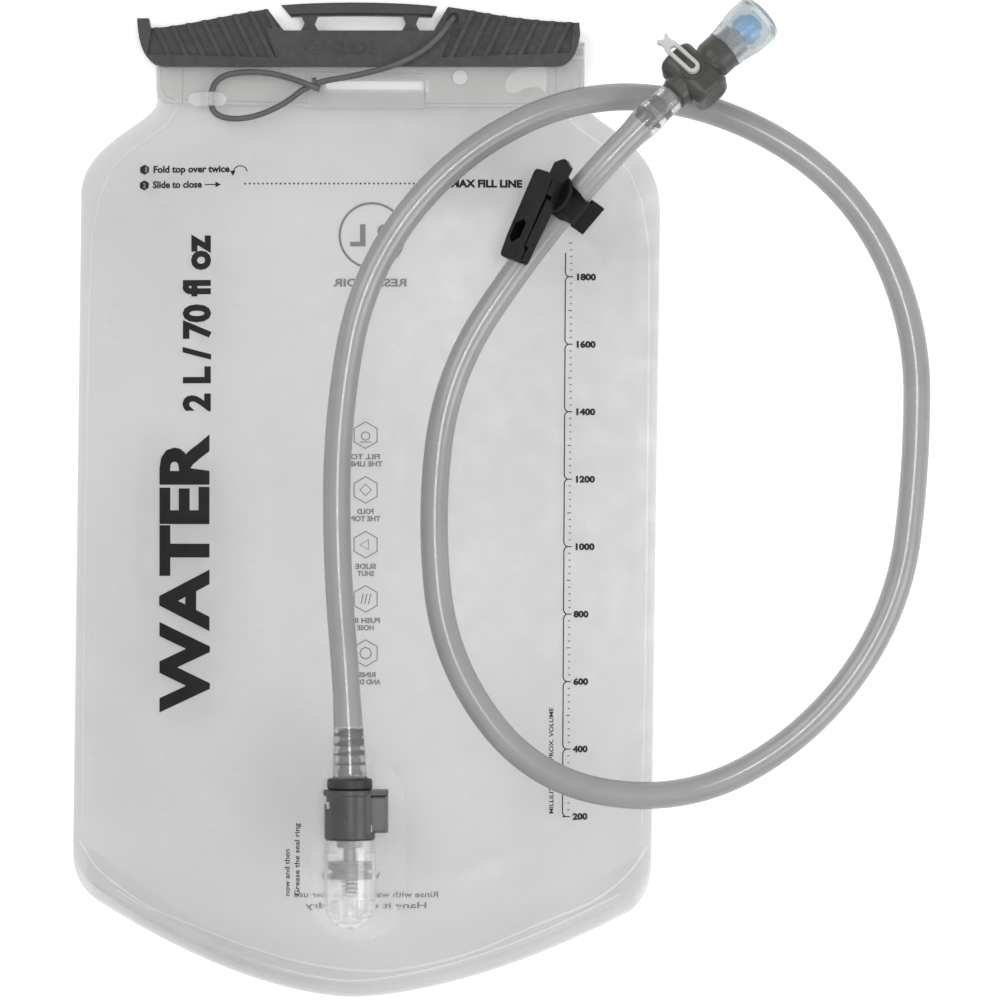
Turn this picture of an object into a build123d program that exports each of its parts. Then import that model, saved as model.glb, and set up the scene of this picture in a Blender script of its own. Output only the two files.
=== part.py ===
from build123d import *
import math
import os

os.makedirs("parts", exist_ok=True)

# A two litre drinking reservoir lying flat on its back, with its hose plugged in and looped over it.
# Millimetres. +X right, +Y towards the slide closure, +Z up out of the bag. The table is z = 0.

# Bag
FILM = 0.5                # thickness of the bag's film
BAG_BOTTOM = -172.1       # lowest point of the bottom edge
BOTTOM_MID_X = -5.0       # where that point is
SIDE_LEFT = -101.8
SIDE_RIGHT = 101.8
SHOULDER_Y = 138.0        # where the neck starts
NECK_LEFT = -72.5
NECK_RIGHT = 75.4
NECK_END = 153.0          # the panels meet the folded top here
NECK_LIFT = 2.6           # underside of the back film inside the slide
PLATEAU = 15.0            # top of the filled part
PLY_STEP = 0.7            # from the underside of one film to the next
GUSSET_OPEN = 9.0         # height of the opened bottom gusset
HEM = 4.5                 # the front film stops this far above the back film's edge

# Folded top and its rails
LEG = 1.1                 # thickness of the stiffened top
FOLD_GAP = 1.5            # clear height inside the fold
FOLD_Y = 157.0            # centre of the fold
FLAP_END = 136.0
RAIL_WIDTH = 2.4
RAIL_HEIGHT = 0.9

# Slide closure
SLIDE_BACK = 0.3
SLIDE_FRONT = 10.3
WALL = 1.0
RIB_HEIGHT = 1.7
RIB_WIDTH = 1.7
RIB_PITCH = 5.85
RIB_LEAN = 9.0            # how far a rib leans outwards over its length
WING_TOP = 8.2            # level between the ribs behind the channel
MOUTH_Y = 150.0
LIP_Y = 153.6
CAVITY_END = 160.4
WEB_Y = 162.3
TETHER_HOLE = (30.4, 166.9)

# Port and coupling, measured from the plug's collar along the port's axis
PORT_X = -5.2
PORT_Y = -95.0
PORT_Z = 25.4
FLANGE = 1.5
STEM_R = 4.7
BORE_R = 4.76
HOUSING_R = 8.7
BARREL_R = 8.95
HOUSING_TOP = 3.9
HOUSING_END = 20.9
SEAT = 25.4               # step that the poppet closes against
CHAMBER_R = 8.0
BUTTON_TRAVEL = 1.0

# Hose
HOSE_OD = 9.5
HOSE_ID = 6.4
HOSE_ROUTE = [
    (-5.2, -95.0, 25.4), (-5.7, -70.0, 25.0), (-10.0, -21.0, 20.3), (-9.6, 29.0, 20.3),
    (-0.8, 78.0, 20.4), (30.0, 118.5, 19.8), (76.0, 141.5, 16.6), (126.0, 135.5, 5.3),
    (168.5, 107.5, 5.0), (190.5, 62.0, 5.0), (190.3, 11.5, 5.0), (184.0, -37.5, 5.0),
    (155.0, -79.5, 5.0), (111.0, -104.5, 7.2), (59.0, -97.0, 18.2), (27.5, -56.0, 20.4),
    (22.2, -6.0, 20.3), (28.0, 43.5, 20.3), (56.0, 85.5, 20.4), (87.1, 121.9, 30.0),
    (105.3, 138.5, 25.7),
]

# Tether
TETHER_D = 2.0
TETHER_ROUTE = [
    (30.4, 166.9, 6.0), (30.3, 166.7, 12.2), (24.4, 158.6, 12.0), (14.5, 151.6, 11.8),
    (-2.0, 146.8, 10.4), (-19.0, 144.4, 8.9), (-29.0, 136.3, 8.5), (-41.5, 131.6, 7.9),
    (-52.2, 132.6, 7.7), (-54.2, 139.0, 7.6), (-51.6, 146.4, 7.9), (-41.5, 148.4, 9.0),
    (-28.0, 147.0, 10.6), (-16.0, 142.0, 11.2),
]
TAB_X = -53.9
TAB_Y = 138.8

# Bite valve, in a frame of its own: x to the left, y up, z along the valve
HEADING = 42.4            # degrees from +X
PITCH = 10.0              # degrees downwards
ROLL = 20.0               # degrees, its top leans to the left
CROSS_Z = 10.2            # axis of the cross barrel
CROSS_R = 6.8
KEY_X = 1.0               # middle of the core's key, from the core's axis towards the lever's tip
KEY_HALF = 1.1

# Clip
CLIP_LEAN = 45.0          # degrees that its rivet rises from the table
CLIP_TURN = 22.0          # degrees that the jaws are turned from the hose
JAW_WIDTH = 8.0
JAW_TIP = 27.0            # from the rivet to the base jaw's tip


def smooth(t):
    """Rises from 0 to 1 without corners."""
    t = min(max(t, 0.0), 1.0)
    return t * t * (3 - 2 * t)


def save(shape, name):
    export_step(shape, f"parts/{name}.step")


def box(x, y, z):
    """A block from its (low, high) on each axis."""
    size = [high - low for low, high in (x, y, z)]
    middle = [(high + low) / 2 for low, high in (x, y, z)]
    return Pos(*middle) * Box(*size)


def turned(points):
    """A solid turned about Z from (radius, z) points."""
    outline = Polyline(*[(r, 0, z) for r, z in points], close=True)
    return revolve(make_face(outline), Axis.Z)


def ring(major, minor, z):
    """A seal ring about Z."""
    return Pos(0, 0, z) * Torus(major, minor)


# ---------------------------------------------------------------- bag

def bottom_edge(x):
    """The bag's lower edge: two gentle curves that meet low in the middle."""
    reach = x - BOTTOM_MID_X
    fall = 0.0172 if reach < 0 else 0.0132
    return BAG_BOTTOM + fall * abs(reach) ** 1.69


def bag_outline(lift):
    """Flat outline of the bag, with its bottom edge raised by lift."""
    left, right = -94, 92
    corner_left = (SIDE_LEFT, -122 + lift)
    corner_right = (98.7, -125 + lift)
    edges = [
        Line((NECK_LEFT, NECK_END), (NECK_LEFT, SHOULDER_Y)),
        Bezier((NECK_LEFT, SHOULDER_Y), (-73, 131), (-97, 125), (-99, 108)),
        Line((-99, 108), corner_left),
        Bezier(corner_left, (SIDE_LEFT, -132 + lift), (left, bottom_edge(left) + lift)),
        Spline(*[(x, bottom_edge(x) + lift) for x in range(left, right + 1, 31)]),
        Bezier((right, bottom_edge(right) + lift), (98.7, -136 + lift), corner_right),
        Line(corner_right, (SIDE_RIGHT, 100)),
        Bezier((SIDE_RIGHT, 100), (SIDE_RIGHT, 126), (77, 130), (NECK_RIGHT, SHOULDER_Y)),
        Line((NECK_RIGHT, SHOULDER_Y), (NECK_RIGHT, NECK_END)),
        Line((NECK_RIGHT, NECK_END), (NECK_LEFT, NECK_END)),
    ]
    return extrude(make_face(edges), 60)


def back_height(y):
    """Underside of the back film: flat on the table, rising into the slide."""
    return NECK_LIFT * smooth((y - 112) / 36)


def front_height(x, y):
    """Underside of the front film."""
    narrowing = smooth((y - 104) / 36)
    across = min(abs(x - 1.4 * narrowing) / (95 - 26 * narrowing), 1)
    crown = (1 - across**4) ** 1.7
    filled = (PLATEAU - FILM - PLY_STEP) * crown * (1 - smooth((y - 100) / 46))
    gusset = GUSSET_OPEN * (1 - min(abs(x) / 97, 1) ** 2.5)
    rise = smooth((y - bottom_edge(x) - HEM) / 18)
    return back_height(y) + PLY_STEP + gusset + (filled - gusset) * rise


def front_surface(drop):
    """The front film's underside as one surface, lowered by drop."""
    columns = [-105 + 6 * n for n in range(36)]
    rows = [-176 + 6 * n for n in range(56)]
    grid = [[(x, y, front_height(x, y) - drop) for y in rows] for x in columns]
    return Face.make_surface_from_array_of_points(grid)


def hang_slot():
    """The slot that the reservoir hangs from, welded round through every layer."""
    return Pos(3.3, 143.6, -1) * extrude(SlotOverall(34.8, 3.1), 30)


def front_panel():
    film = extrude(front_surface(0), FILM, dir=(0, 0, 1)) & bag_outline(HEM)
    inlet = Pos(PORT_X, PORT_Y - 44, 0) * Cylinder(5, 60)
    return film - inlet - hang_slot()


def back_panel():
    """Extruded across the bag, so that its underside is one flat face up to the neck."""
    low = [(y, back_height(y)) for y in range(112, 149, 6)]
    high = [(y, z + FILM) for y, z in reversed(low)]
    edges = [
        Line((-175, 0), low[0]),
        Spline(*low, tangents=[(1, 0), (1, 0)]),
        Line(low[-1], (NECK_END, NECK_LIFT)),
        Line((NECK_END, NECK_LIFT), (NECK_END, NECK_LIFT + FILM)),
        Line((NECK_END, NECK_LIFT + FILM), high[0]),
        Spline(*high, tangents=[(-1, 0), (-1, 0)]),
        Line(high[-1], (-175, FILM)),
        Line((-175, FILM), (-175, 0)),
    ]
    section = Plane.YZ * make_face(edges)
    film = extrude(section, 110, both=True) & (Pos(0, 0, -5) * bag_outline(0))
    return film - hang_slot()


def bottom_gusset():
    """A wall of film along the bottom, between the two panels."""
    stations = range(-90, 91, 30)
    outer = [(x, bottom_edge(x) + HEM + 0.4) for x in stations]
    inner = [(x, y + FILM) for x, y in outer]
    edges = [Spline(*outer), Line(outer[-1], inner[-1]), Spline(*inner), Line(inner[0], outer[0])]
    wall = Pos(0, 0, FILM + 0.02) * extrude(make_face(edges), 30)
    below_front = extrude(front_surface(0.1), 40, dir=(0, 0, -1))
    return wall & below_front


def flap_plan():
    """Plan of the folded top, with rounded free corners."""
    plan = make_face(Polyline(
        (NECK_LEFT, 170), (NECK_LEFT, 137.4), (-20, 136.2), (NECK_RIGHT, FLAP_END),
        (NECK_RIGHT, 170), close=True))
    plan = fillet(plan.vertices().sort_by(Axis.Y)[:3].sort_by(Axis.X)[0], 5)
    plan = fillet(plan.vertices().sort_by(Axis.Y)[0], 5)
    return extrude(plan, 30) - hang_slot()


def closure_flap():
    """The top of the bag: it leaves the panels, turns over and lies on the front."""
    low = NECK_LIFT
    high = low + 2 * LEG + FOLD_GAP
    middle = (low + high) / 2
    outer, inner = (high - low) / 2, FOLD_GAP / 2
    edges = [
        Line((NECK_END + 0.05, low), (FOLD_Y, low)),
        ThreePointArc((FOLD_Y, low), (FOLD_Y + outer, middle), (FOLD_Y, high)),
        Line((FOLD_Y, high), (130, high)),
        Line((130, high), (130, high - LEG)),
        Line((130, high - LEG), (FOLD_Y, high - LEG)),
        ThreePointArc((FOLD_Y, high - LEG), (FOLD_Y + inner, middle), (FOLD_Y, low + LEG)),
        Line((FOLD_Y, low + LEG), (NECK_END + 0.05, low + LEG)),
        Line((NECK_END + 0.05, low + LEG), (NECK_END + 0.05, low)),
    ]
    section = Plane.YZ * make_face(edges)
    return extrude(section, 110, both=True) & flap_plan()


FLAP_TOP = NECK_LIFT + 2 * LEG + FOLD_GAP


def closure_rail(z):
    """A bead along the folded top that the slide's lips run behind."""
    bead = box((NECK_LEFT + 0.5, NECK_RIGHT - 0.5), (154.2, 154.2 + RAIL_WIDTH),
               (z, z + RAIL_HEIGHT))
    return chamfer(bead.edges().filter_by(Axis.Z), 0.6)


def tether_tab():
    """A loop of film welded to the flap, over the tether."""
    low = FLAP_TOP + 0.02
    y = (TAB_Y - 2.4, TAB_Y + 2.4)
    arch = make_face(Polyline(
        (TAB_X - 4.2, low), (TAB_X - 2.6, low + 3.2), (TAB_X + 2.6, low + 3.2), (TAB_X + 4.2, low),
        (TAB_X + 3.2, low), (TAB_X + 1.9, low + 2.6), (TAB_X - 1.9, low + 2.6), (TAB_X - 3.2, low),
        close=True))
    arch = Pos(0, y[1], 0) * extrude(Plane.XZ * arch, 4.8)
    feet = box((TAB_X - 7.4, TAB_X - 3.2), y, (low, low + 0.6))
    feet += box((TAB_X + 3.2, TAB_X + 5.4), y, (low, low + 0.6))
    return arch + feet


# ---------------------------------------------------------------- slide closure

def slide_plan():
    """Plan of the slide: a channel, two wings and a handle on two posts."""
    body = make_face([
        Line((66, MOUTH_Y), (-70, MOUTH_Y)),
        Bezier((-70, MOUTH_Y), (-76.5, 151), (-78.6, 157), (-79, 166.5)),
        Line((-79, 166.5), (-75, 166.5)),
        Line((-75, 166.5), (-74.4, 163.2)),
        Bezier((-74.4, 163.2), (-62, 164), (-48, 168), (-34, 169.8)),
        Line((-34, 169.8), (-28.4, WEB_Y)),
        Line((-28.4, WEB_Y), (23.4, WEB_Y)),
        Line((23.4, WEB_Y), (28.3, 170.6)),
        Bezier((28.3, 170.6), (40, 169), (50, 166), (73.6, 165.1)),
        Line((73.6, 165.1), (73.9, 161)),
        Bezier((73.9, 161), (73, 155), (71, 150.6), (66, MOUTH_Y)),
    ])
    handle = make_face([
        Bezier((-29.4, 171.2), (-12, 172.6), (10, 172.4), (24.4, 170.8)),
        Line((24.4, 170.8), (22.6, 167.2)),
        Bezier((22.6, 167.2), (10, 167.8), (-12, 167.9), (-26, 167.3)),
        Line((-26, 167.3), (-29.4, 171.2)),
    ])
    posts = [
        make_face(Polyline((x - 3.2, 162), (x - 1.7, 164.8), (x - 3, 168), (x + 3, 168),
                           (x + 1.7, 164.8), (x + 3.2, 162), close=True))
        for x in (-19.6, 15.4)
    ]
    return body, handle, posts


def slide_ribs():
    """Slanted grip ribs on both wings, leaning towards the handle."""
    ribs = []
    half = RIB_WIDTH / 2
    for side, first, count in ((-1, 20.5, 9), (1, 29.0, 8)):
        for n in range(count):
            foot = side * (first + RIB_PITCH * n)
            head = foot + side * RIB_LEAN
            ribs.append(make_face(Polyline(
                (foot - half, 152.6), (foot + half, 152.6), (head + half, 171.2),
                (head - half, 171.2), close=True)))
    return ribs


def slide_closure():
    body, handle, posts = slide_plan()
    base_top = SLIDE_FRONT - RIB_HEIGHT
    channel = Pos(0, 0, SLIDE_BACK) * extrude(body, base_top - SLIDE_BACK)
    top = Pos(0, 0, base_top) * extrude(body, RIB_HEIGHT)
    left_field = make_face(Polyline(
        (-75.5, 154), (-74, 164), (-37, 169.2), (-31, 153), close=True))
    right_field = make_face(Polyline(
        (26, 153), (31, 165.6), (37, 165.3), (71.6, 164.4), (70.5, 154.5), close=True))
    field = extrude(left_field, 40) + extrude(right_field, 40)
    rib_solid = [extrude(rib, 40) for rib in slide_ribs()]
    field -= rib_solid
    top -= field
    under = box((-90, 90), (WEB_Y + 0.6, 180), (-1, 3.6))
    over = box((-74.4, -28.4), (163.3, 180), (WING_TOP, 20))
    over += box((28.0, 73.2), (164.5, 180), (WING_TOP, 20))
    slide = channel + top - under - (over - rib_solid)
    grip = Pos(0, 0, 2.6) * extrude(handle, 6.2)
    grip = chamfer(grip.edges().filter_by(GeomType.BEZIER), 0.8)
    slide += grip
    for post in posts:
        slide += Pos(0, 0, 3.6) * extrude(post, 4.6)
    cavity = box((-76.4, 90), (LIP_Y, CAVITY_END), (SLIDE_BACK + WALL, 7.5))
    cavity += box((-76.4, 90), (MOUTH_Y - 5, LIP_Y), (NECK_LIFT - 0.3, FLAP_TOP + 0.3))
    slide -= cavity
    slide -= Pos(*TETHER_HOLE, 0) * Cylinder(1.7, 60)
    slide -= Pos(*TETHER_HOLE, 3.0) * Cylinder(2.6, 6.1)
    return slide


def tether_knot():
    """The end of the tether, melted to a bead under the slide's hole."""
    bead = Pos(*TETHER_HOLE, 4.6) * Cylinder(2.2, 2.7)
    return fillet(bead.edges().filter_by(GeomType.CIRCLE), 0.8)


def tether_eye():
    """Moulded eye on the tether's end, round the standing part."""
    before, after = Vector(TETHER_ROUTE[4]), Vector(TETHER_ROUTE[5])
    place = Plane(origin=before + (after - before) * 0.93, z_dir=after - before)
    return place.location * (Cylinder(1.5, 1.3) - Cylinder(1.15, 4))


def swept_cord(route, section, name):
    """A cord along straight runs joined by arcs as large as the runs allow."""
    points = [Vector(p) for p in route]
    runs = [b - a for a, b in zip(points, points[1:])]
    radii = []
    for before, after in zip(runs, runs[1:]):
        turn = math.radians(before.get_angle(after))
        radii.append(0.45 * min(before.length, after.length) / math.tan(turn / 2))
    path = FilletPolyline(*route, radius=radii)
    start = Plane(origin=points[0], z_dir=runs[0])
    face = start.location * section
    cord = sweep(face, path=path)
    print(f"{name}: radii {[round(r) for r in radii]}")
    print(f"{name}: length {path.length:.1f}, volume {cord.volume:.0f} against "
          f"{section.area * path.length:.0f}")
    return cord


def tether_cord():
    return swept_cord(TETHER_ROUTE, Circle(TETHER_D / 2), "tether_cord")


# ---------------------------------------------------------------- port and coupling
# In the port's frame x is right, y is up and z runs from the plug's collar to the port's tip.

PORT = Plane(origin=(PORT_X, PORT_Y, PORT_Z), x_dir=(1, 0, 0), z_dir=(0, -1, 0))


def barbs(radius, root, start, pitch, count):
    """(radius, z) points of barbs that grip a hose, from the open end."""
    points = []
    for n in range(count):
        z = start + n * pitch
        points += [(root, z), (radius, z + 0.6 * pitch), (radius, z + 0.75 * pitch),
                   (root, z + 0.8 * pitch)]
    return points


def hose_plug():
    bore = 2.4
    outline = [(bore, -17.0)] + barbs(4.3, 3.4, -17.0, 3.3, 5)
    outline += [(3.4, 0), (7.3, 0), (7.75, 0.6), (7.75, 3.1), (7.3, 3.7), (STEM_R, 3.7)]
    outline += [(STEM_R, 7.9), (3.6, 7.9), (3.6, 10.5), (STEM_R, 10.5)]
    outline += [(STEM_R, 18.1), (3.25, 18.1), (3.25, 19.9), (STEM_R, 19.9)]
    outline += [(STEM_R, 22.9), (STEM_R - 0.6, 23.5), (bore, 23.5)]
    return turned(outline)


def plug_oring():
    return ring(3.98, 0.7, 19.0)


def coupling_housing():
    """Quick-release housing: bore for the plug, slot for the latch plate, pocket for the button."""
    shell = turned([(BORE_R, HOUSING_TOP), (HOUSING_R + 0.4, HOUSING_TOP),
                    (HOUSING_R + 0.4, HOUSING_TOP + 1.5), (HOUSING_R, HOUSING_TOP + 2),
                    (HOUSING_R, HOUSING_END - 0.6), (HOUSING_R - 0.6, HOUSING_END),
                    (6.56, HOUSING_END), (6.56, 15.9), (BORE_R, 15.9)])
    shell += box((0, 13.2), (-5.6, 5.6), (HOUSING_TOP, HOUSING_TOP + 1.6)) - Cylinder(BORE_R, 60)
    shell += box((3, 5.6), (-6.6, 6.6), (4, 18.9)) & turned(
        [(BORE_R, 4), (9.3, 4), (9.3, 15.8), (6.7, 15.8), (6.7, 18.9), (6.6, 18.9), (6.6, 15.8),
         (BORE_R, 15.8)])
    shell -= box((5.6, 20), (-9, 9), (HOUSING_TOP + 1.6, 18.7))
    shell += box((5.0, 7.3), (5.6, 6.5), (HOUSING_TOP + 1, 18.8))
    shell -= box((-8.1, 20), (-5.8, 5.8), (7.8, 10.6))
    shell -= box((-10, -7.9), (-9, 9), (5.9, 8.9))
    return shell & box((-20, 20), (-8.7, 20), (0, 30))


def release_button():
    """Side button in one piece with the latch plate that goes round the plug."""
    pad = box((6.8, 14), (-5.3, 5.3), (5.8, 18.4)) & Cylinder(13.2, 80)
    pad = fillet(pad.edges().filter_by(Axis.X), 1.2)
    pad -= Pos(7.0, 0, 13.6) * Rot(0, 90, 0) * Cylinder(1.9, 5.6)
    pad -= box((0, 7.8), (-9, 9), (15.7, 20))
    plate = box((-6.9, 7.2), (-5.5, 5.5), (8.2, 10.2))
    window = extrude(Pos(0.5, 0, 8) * SlotOverall(2 * 4.9 + BUTTON_TRAVEL, 2 * 4.9), 3)
    return pad + (plate - window)


def coil(radius, wire, length, pitch):
    """A coil spring standing on the origin along Z."""
    path = Helix(pitch=pitch, height=length, radius=radius)
    start = Plane(origin=path @ 0, z_dir=path % 0)
    return sweep(start.location * Circle(wire), path=path, is_frenet=True)


def button_spring():
    return Pos(5.85, 0, 13.6) * Rot(0, 90, 0) * coil(1.4, 0.22, 3.2, 0.9)


def port_body():
    """Clear port: oval flange, barrel, valve seat and chamber, and the inlet into the bag."""
    barrel = turned([
        (BORE_R, 16.0), (6.5, 16.0), (6.5, 21.0), (BARREL_R, 21.0), (BARREL_R, 44.0),
        (8.2, 46.6), (6.4, 49.2), (3.6, 51.2), (0, 51.8), (0, 47.0), (3.2, 47.0), (3.2, 41.0),
        (CHAMBER_R, 41.0), (CHAMBER_R, SEAT), (BORE_R, SEAT)])
    level = PLATEAU + 0.15 - PORT_Z
    pedestal = box((-7.2, 7.2), (level + 1, -6.6), (21.4, 46.0))
    flange = Pos(2.6, level + FLANGE, 24.4) * Rot(90, 0, 0) * extrude(
        Rot(0, 0, 90) * SlotOverall(64.2, 32.8), FLANGE)
    flange = chamfer(flange.edges().group_by(Axis.Y)[-1], 0.5)
    body = barrel + flange + pedestal
    body -= Pos(0, 0, (SEAT + 41.0) / 2) * Cylinder(CHAMBER_R, 41.0 - SEAT)
    inlet = Pos(0, -5, 44.0) * Rot(90, 0, 0) * Cylinder(2.8, 12)
    return body - inlet


def shutoff_poppet():
    """Valve that the plug holds open: nose, disc with its seal's groove, and tail."""
    return turned([(0, 23.7), (1.5, 23.7), (2.2, 24.3), (2.2, 28.5), (7.6, 28.5), (7.6, 28.9),
                   (6.7, 28.9), (6.7, 30.0), (7.6, 30.0), (7.6, 31.0), (6.0, 31.4), (6.0, 32.6),
                   (7.6, 32.6), (7.6, 34.2), (1.5, 34.2), (1.5, 39.0), (0, 39.0)])


def poppet_seal():
    return ring(7.26, 0.5, 29.45)


def poppet_spring():
    return Pos(0, 0, 34.7) * coil(2.6, 0.35, 5.8, 1.5)


# ---------------------------------------------------------------- hose and bite valve

def drink_tube():
    section = Circle(HOSE_OD / 2) - Circle(HOSE_ID / 2)
    return swept_cord(HOSE_ROUTE, section, "drink_tube")


def valve_frame():
    """x to the left, y up and z along the valve, from the hose's end."""
    heading, pitch, roll = (math.radians(a) for a in (HEADING, PITCH, ROLL))
    along = Vector(math.cos(heading) * math.cos(pitch), math.sin(heading) * math.cos(pitch),
                   -math.sin(pitch))
    left = Vector(-math.sin(heading), math.cos(heading), 0)
    up = along.cross(left)
    return Plane(origin=HOSE_ROUTE[-1], x_dir=left * math.cos(roll) - up * math.sin(roll),
                 z_dir=along)


VALVE = valve_frame()


def valve_stem():
    """Barbed into the hose at one end, and the valve turns on its other end."""
    bore = 1.9
    outline = [(bore, -15.0)] + barbs(4.2, 3.3, -15.0, 6.0, 2)
    outline += [(3.1, -3.0), (3.1, 0.9), (3.4, 0.9), (3.4, 3.0), (3.0, 3.0), (3.0, 3.8)]
    outline += [(3.4, 3.8), (3.4, 5.5), (bore, 5.5)]
    return turned(outline)


def stem_seal_ring():
    return turned([(3.15, 0.03), (5.1, 0.03), (5.1, 0.65), (3.15, 0.65)])


def valve_body():
    """Cross barrel with a neck at each end and a bore for the turning core."""
    neck = turned([(0, 0.75), (5.1, 0.75), (5.6, 1.5), (6.0, 5.0), (0, 5.0)])
    cross = Box(20.4, 2 * CROSS_R, 2 * CROSS_R)
    cross = fillet(cross.edges().filter_by(Axis.X), 4.6)
    cross = fillet(cross.faces().filter_by(Axis.X).edges(), 2.2)
    cross = Pos(0, 0, CROSS_Z) * cross
    outlet = turned([(0, 9), (6.2, 9), (6.2, 17), (6.9, 19), (6.9, 24.3), (5.6, 24.3),
                     (5.6, 30.0), (0, 30.0)])
    body = neck + cross + outlet
    body -= turned([(0, 0), (3.45, 0), (3.45, 5.7), (0, 5.7)])
    body -= turned([(0, 6), (2.4, 6), (2.4, 31), (0, 31)])
    return body - Pos(0, 2, CROSS_Z) * Rot(90, 0, 0) * Cylinder(4.35, 14.4)


def shutoff_core():
    """Turning plug of the valve, closed at rest, with a long key that fills the lever's slot."""
    core = turned([(0, -5.0), (4.3, -5.0), (4.3, 4.9), (3.7, 4.9), (3.7, 5.9), (4.3, 5.9),
                   (4.3, 7.0), (0, 7.0)])
    core += extrude(Pos(KEY_X, 0, 6.9) * SlotOverall(4.2, 2 * KEY_HALF), 1.7)
    core = Pos(0, 0, CROSS_Z) * Rot(-90, 0, 0) * core
    return core - Pos(0, 0, CROSS_Z) * Rot(0, 90, 0) * Cylinder(2.2, 20)


def core_oring():
    return Pos(0, 0, CROSS_Z) * Rot(-90, 0, 0) * ring(3.98, 0.27, 5.4)


def shutoff_lever():
    """Hairpin lever with a long slot, driven by the core's key, and a forked tip."""
    loop = Pos(5.2, 0) * SlotOverall(15.4, 4.8)
    tip = make_face(Polyline((11.2, -2.0), (13.2, -1.7), (15.0, -2.4), (15.6, -1.7), (14.3, -0.5),
                             (14.3, 0.5), (15.6, 1.7), (15.0, 2.4), (13.2, 1.7), (11.2, 2.0),
                             close=True))
    slot = Pos(KEY_X + 3.6, 0) * SlotOverall(11.5, 2 * KEY_HALF + 0.1)
    plate = extrude(loop + tip - slot, 1.7)
    return Pos(0, 7.15, CROSS_Z) * Rot(-90, 0, 0) * plate


def mouthpiece():
    """Soft bite piece: a waisted cup with a slit in its domed end."""
    cup = turned([
        (5.7, 24.5), (7.2, 24.5), (7.4, 27.0), (7.8, 29.5), (8.5, 32.5), (8.9, 36.5), (8.8, 40.4),
        (7.9, 42.2), (5.6, 43.1), (0, 43.6), (0, 41.7), (4.6, 41.3), (6.8, 39.6), (7.2, 36.5),
        (6.8, 33.0), (5.7, 30.6)])
    return cup - box((-4.0, 4.0), (-0.3, 0.3), (38, 50))


def bite_core():
    """Soft inner ring that keeps the slit closed."""
    return turned([(1.2, 31.4), (4.0, 31.4), (5.0, 33.0), (5.0, 36.5), (3.4, 39.4), (1.2, 39.4)])


# ---------------------------------------------------------------- clip
# In the clip's frame x runs along the jaws to their tips and z along the rivet, out from the hose.

def clip_frames():
    """The saddle's frame (z along the hose) and the clip's frame, both centred on the hose."""
    low, high = Vector(HOSE_ROUTE[-3]), Vector(HOSE_ROUTE[-2])
    along = (high - low).normalized()
    side = Vector(0, 0, 1).cross(along).normalized()
    up = along.cross(side)
    lean = math.radians(CLIP_LEAN)
    rivet = side * math.cos(lean) + up * math.sin(lean)
    centre = low + along * 22.2
    turn = math.radians(CLIP_TURN)
    jaws = along * -math.cos(turn) + along.cross(rivet) * math.sin(turn)
    saddle = Plane(origin=centre, x_dir=rivet, z_dir=along)
    return saddle, Plane(origin=centre, x_dir=jaws, z_dir=rivet)


SADDLE, CLIP = clip_frames()


def clip_collar():
    """Saddle round the hose, flared at both ends, with a round pad for the rivet."""
    sleeve = turned([(5.1, -5.8), (6.9, -5.8), (6.2, -3.5), (6.1, 0), (6.2, 3.5), (6.9, 5.8),
                     (5.1, 5.8)])
    sleeve -= box((-10, 0), (-3.4, 3.4), (-10, 10))
    for end in (-1, 1):
        sleeve -= Pos(-1, 0, end * 17.7) * Rot(90, 0, 0) * Cylinder(13, 30)
    sleeve += Pos(-3.5, 3.5, 0) * Rot(0, 0, -14) * box((-5.6, 0), (0, 1.2), (-5.8, 5.8))
    sleeve += Pos(-3.5, -3.5, 0) * Rot(0, 0, 14) * box((-2.6, 0), (-1.2, 0), (-5.8, 5.8))
    pad = Pos(8.3, 0, 0) * Rot(0, 90, 0) * Cylinder(7.2, 1.8)
    neck = Pos(6.6, 0, 0) * Rot(0, 90, 0) * Cone(4.6, 6.4, 2.4)
    pad = pad + neck - Cylinder(5.1, 40)
    return sleeve + pad - Pos(7, 0, 0) * Rot(0, 90, 0) * Cylinder(1.55, 8)


def clip_rivet():
    """Turned rivet: a head in the saddle's pad and a head on the jaw."""
    return turned([(0, 5.25), (1.5, 5.25), (1.5, 11.2), (2.6, 11.2), (2.6, 11.7), (0, 11.7)])


PIN_X = 0.0
PIN_Z = 13.6


def clip_base_jaw():
    """Flat jaw on the rivet, with ears for the pin, a thumb tab and teeth at its tip."""
    plate = box((-11.8, JAW_TIP), (-JAW_WIDTH / 2, JAW_WIDTH / 2), (9.35, 10.95))
    plate = chamfer(plate.edges().filter_by(Axis.Z).group_by(Axis.X)[0], 3.4, 2.0)
    plate = fillet(plate.edges().filter_by(Axis.Z).group_by(Axis.X)[-1], 1.2)
    teeth = box((JAW_TIP - 4, JAW_TIP - 0.4), (-JAW_WIDTH / 2, JAW_WIDTH / 2), (10.9, 13.0))
    jaw = plate + teeth
    for side in (-1, 1):
        y = sorted((side * (JAW_WIDTH / 2 - 1.0), side * JAW_WIDTH / 2))
        jaw += box((PIN_X - 2.4, PIN_X + 2.4), y, (10.9, PIN_Z + 1.8))
        jaw += box((PIN_X + 2, JAW_TIP - 3.5), y, (10.9, 12.4))
        jaw += box((PIN_X + 4, JAW_TIP - 5.6), y, (12.3, 14.2))
    for n in range(3):
        jaw -= Pos(JAW_TIP - 3.2 + n, 0, 13.0) * Rot(0, 45, 0) * Box(0.7, 12, 0.7)
    jaw -= Pos(PIN_X, 0, PIN_Z) * Rot(90, 0, 0) * Cylinder(0.82, 20)
    return jaw - Cylinder(1.55, 40)


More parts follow.
